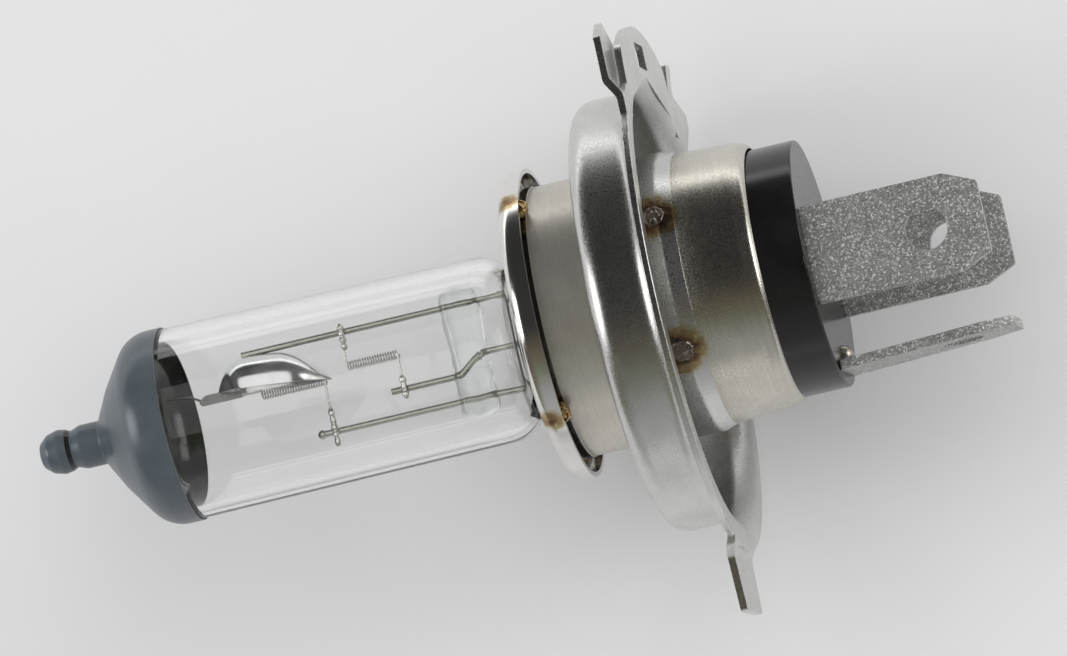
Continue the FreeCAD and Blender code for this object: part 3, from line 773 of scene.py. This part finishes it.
def blade_piece(name, turn, offset, lean):
    """Flat spade terminal with sheared, rounded edges and a drilled hole."""
    sizes = bpy.context.scene.bulb_sizes
    rear, foot, tang, half = -25.6, -11.0, -9.0, 4.05
    outline = rounded([
        (rear, -half + 1.15, 0.2), (rear, half - 1.15, 0.2), (rear + 2.6, half, 0.4),
        (foot, half, 0.3), (foot, half - 1.5), (tang, half - 1.5), (tang, -half + 1.5),
        (foot, -half + 1.5), (foot, -half, 0.3), (rear + 2.6, -half, 0.4),
    ], 5)
    hole_x, hole_radius, hole_steps = -20.8, 1.75, 48
    turns = [math.tau * k / hole_steps for k in range(hole_steps)]
    hole = [(hole_x + hole_radius * math.cos(a), hole_radius * math.sin(a)) for a in turns]
    piece = outline_piece(name, outline, lambda x, y: (station(x), y * MM, 0))
    bpy.ops.object.mode_set(mode="EDIT")
    bpy.ops.mesh.select_all(action="DESELECT")
    bpy.ops.mesh.primitive_circle_add(vertices=len(hole), radius=0.001, fill_type="NOTHING")
    bpy.ops.object.mode_set(mode="OBJECT")
    for vertex, (x, y) in zip(list(piece.data.vertices)[len(outline):], hole):
        vertex.co = (station(x), y * MM, 0)
    bpy.ops.object.mode_set(mode="EDIT")
    bpy.ops.mesh.select_all(action="SELECT")
    bpy.ops.mesh.fill(use_beauty=True)
    bpy.ops.mesh.select_all(action="SELECT")
    bpy.ops.mesh.normals_make_consistent(inside=False)
    bpy.ops.mesh.extrude_region_move(TRANSFORM_OT_translate={"value": (0, 0, sizes.blade_thickness)})
    bpy.ops.mesh.select_all(action="SELECT")
    bpy.ops.mesh.normals_make_consistent(inside=False)
    bpy.ops.object.mode_set(mode="OBJECT")
    apply_modifier(piece, "BEVEL", width=sizes.blade_edge, segments=3, limit_method="ANGLE",
                   angle_limit=math.radians(40))
    foot_place = Vector((station(foot), 0, 0))
    place = (Matrix.Translation((0, INSULATOR_Y * MM, 0))
             @ Matrix.Rotation(math.radians(turn), 4, "X")
             @ Matrix.Translation((0, 0, offset * MM))
             @ Matrix.Translation(foot_place) @ Matrix.Rotation(math.radians(-lean), 4, "Y")
             @ Matrix.Translation(-foot_place))
    piece.matrix_world = place
    bake_place(piece)
    bpy.ops.object.shade_smooth_by_angle(angle=math.radians(30))
    return piece


class BULB_OT_terminals(bpy.types.Operator):
    """Three flat spade terminals and their solder"""
    bl_idname = "bulb.terminals"
    bl_label = "Terminals"

    def execute(self, context):
        finish = tinned_sheet("tinned_sheet", context.scene.bulb_colours.blade)
        for node, turn, offset, lean in (
                ("terminal_high_beam", 0, 7.2, 0), ("terminal_low_beam", -90, 8.45, 2.0),
                ("terminal_common", 180, 7.2, 0)):
            settle(blade_piece(node.replace("terminal", "blade"), turn, offset, lean), node, finish)
        dress("solder_joints", satin_metal("solder", (0.5, 0.46, 0.4), 0.34, 4200.0, 5e-5))
        return {"FINISHED"}


# ---- studio ------------------------------------------------------------------------------------


def soft_light(name, power, size, place, aim, colour=(1, 1, 1)):
    """Area light that looks at a point and is itself out of the picture."""
    data = bpy.data.lights.new(name, "AREA")
    data.energy = power
    data.shape = "RECTANGLE"
    data.size, data.size_y = size
    data.color = colour
    light = bpy.data.objects.new(name, data)
    light.location = place
    light.rotation_euler = (Vector(aim) - Vector(place)).to_track_quat("-Z", "Y").to_euler()
    light.visible_camera = False
    bpy.context.scene.collection.objects.link(light)
    return light


class BULB_OT_stage(bpy.types.Operator):
    """Paper, lights, room and camera"""
    bl_idname = "bulb.stage"
    bl_label = "Studio"

    def execute(self, context):
        scene = context.scene
        studio = scene.bulb_studio
        floor_z = CAD_BOX[0][2] - 0.0002
        start_piece()
        bpy.ops.mesh.primitive_plane_add(size=4.0, location=(0, 0, floor_z))
        floor = bpy.context.object
        floor.name = "paper_sheet"
        floor.data.materials.append(paper("pale_paper", scene.bulb_colours.paper))
        ceiling = soft_light("ceiling", studio.ceiling_power, (1.3, 1.3), (0.0, -0.2, 0.95), (0, 0, 0))
        ceiling.visible_glossy = False
        soft_light("key", studio.key_power, (0.22, 0.32), (0.55, -0.06, 0.2), (0.02, 0, 0))
        soft_light("fill", studio.fill_power, (0.3, 0.3), (-0.5, -0.1, 0.16), (0, 0, 0))
        edge_x, edge_y, just_over_paper = 0.03, -0.34, floor_z + 0.001
        edge = soft_light("edge", studio.edge_power, (0.6, 0.4), (edge_x, edge_y, just_over_paper),
                          (edge_x, edge_y, 1.0))
        edge.visible_diffuse = False
        world = bpy.data.worlds.new("studio_room")
        scene.world = world
        world.use_nodes = True
        tree = world.node_tree
        tree.nodes.clear()
        output = tree.nodes.new("ShaderNodeOutputWorld")
        seen = tree.nodes.new("ShaderNodeBackground")
        seen.inputs["Color"].default_value = (0.62, 0.62, 0.63, 1)
        room = tree.nodes.new("ShaderNodeBackground")
        room.inputs["Strength"].default_value = 1.0
        coords = tree.nodes.new("ShaderNodeTexCoord")
        split = tree.nodes.new("ShaderNodeSeparateXYZ")
        tree.links.new(coords.outputs["Generated"], split.inputs[0])
        ramp = tree.nodes.new("ShaderNodeValToRGB")
        level = studio.room_level
        walls = [
            (0.0, (0.3 * level,) * 3), (0.55, (0.4 * level,) * 3),
            (0.72, (1.5 * level, 1.25 * level, 0.9 * level)), (0.8, (1.7 * level, 2.0 * level, 1.4 * level)),
            (0.88, (3.4 * level,) * 3), (0.97, (4.2 * level,) * 3), (1.0, (9.0 * level,) * 3)]
        for _ in walls[2:]:
            ramp.color_ramp.elements.new(0.5)
        for stop, (place, colour) in zip(ramp.color_ramp.elements, walls):
            stop.position = place
            stop.color = (*colour, 1)
        half = tree.nodes.new("ShaderNodeMapRange")
        half.inputs["From Min"].default_value = -1.0
        tree.links.new(split.outputs["Y"], half.inputs["Value"])
        tree.links.new(half.outputs["Result"], ramp.inputs["Fac"])
        tree.links.new(ramp.outputs["Color"], room.inputs["Color"])
        bounce = tree.nodes.new("ShaderNodeBackground")
        bounce.inputs["Color"].default_value = (*studio.matte_light, 1)
        path = tree.nodes.new("ShaderNodeLightPath")
        for_matte = tree.nodes.new("ShaderNodeMixShader")
        tree.links.new(path.outputs["Is Diffuse Ray"], for_matte.inputs[0])
        tree.links.new(room.outputs[0], for_matte.inputs[1])
        tree.links.new(bounce.outputs[0], for_matte.inputs[2])
        mix = tree.nodes.new("ShaderNodeMixShader")
        tree.links.new(path.outputs["Is Camera Ray"], mix.inputs[0])
        tree.links.new(for_matte.outputs[0], mix.inputs[1])
        tree.links.new(seen.outputs[0], mix.inputs[2])
        tree.links.new(mix.outputs[0], output.inputs[0])
        data = bpy.data.cameras.new("camera")
        data.lens = 311.75
        data.sensor_width = 36.0
        data.clip_start = 0.01
        camera = bpy.data.objects.new("camera", data)
        camera.location = (-0.109606, 0.077311, 0.745593)
        camera.rotation_euler = [math.radians(a) for a in (3.82729, 10.1987, 167.56957)]
        scene.collection.objects.link(camera)
        scene.camera = camera
        scene.view_settings.view_transform = "Standard"
        return {"FINISHED"}


OPERATORS = (
    BULB_OT_glass, BULB_OT_cap, BULB_OT_mount, BULB_OT_collar, BULB_OT_sleeve, BULB_OT_flange,
    BULB_OT_welds, BULB_OT_insulator, BULB_OT_terminals, BULB_OT_stage,
)


class BULB_PT_tools(bpy.types.Panel):
    """Sidebar list of the bulb's pieces"""
    bl_idname = "BULB_PT_tools"
    bl_label = "Headlamp bulb"
    bl_space_type = "VIEW_3D"
    bl_region_type = "UI"
    bl_category = "Bulb"

    def draw(self, context):
        for operator in OPERATORS:
            self.layout.operator(operator.bl_idname)
        for group in (context.scene.bulb_sizes, context.scene.bulb_colours, context.scene.bulb_studio):
            for name in group.__annotations__:
                self.layout.prop(group, name)


CLASSES = (BulbSizes, BulbColours, StudioSettings) + OPERATORS + (BULB_PT_tools,)


def register():
    for kind in CLASSES:
        bpy.utils.register_class(kind)
    bpy.types.Scene.bulb_sizes = bpy.props.PointerProperty(type=BulbSizes)
    bpy.types.Scene.bulb_colours = bpy.props.PointerProperty(type=BulbColours)
    bpy.types.Scene.bulb_studio = bpy.props.PointerProperty(type=StudioSettings)


def unregister():
    del bpy.types.Scene.bulb_studio
    del bpy.types.Scene.bulb_colours
    del bpy.types.Scene.bulb_sizes
    for kind in reversed(CLASSES):
        bpy.utils.unregister_class(kind)


def main():
    """Builds every piece and the studio."""
    register()
    bpy.ops.bulb.stage()
    bpy.ops.bulb.glass()
    bpy.ops.bulb.cap()
    bpy.ops.bulb.mount()
    bpy.ops.bulb.collar()
    bpy.ops.bulb.sleeve()
    bpy.ops.bulb.flange()
    bpy.ops.bulb.welds()
    bpy.ops.bulb.insulator()
    bpy.ops.bulb.terminals()


if __name__ == "__main__":
    main()
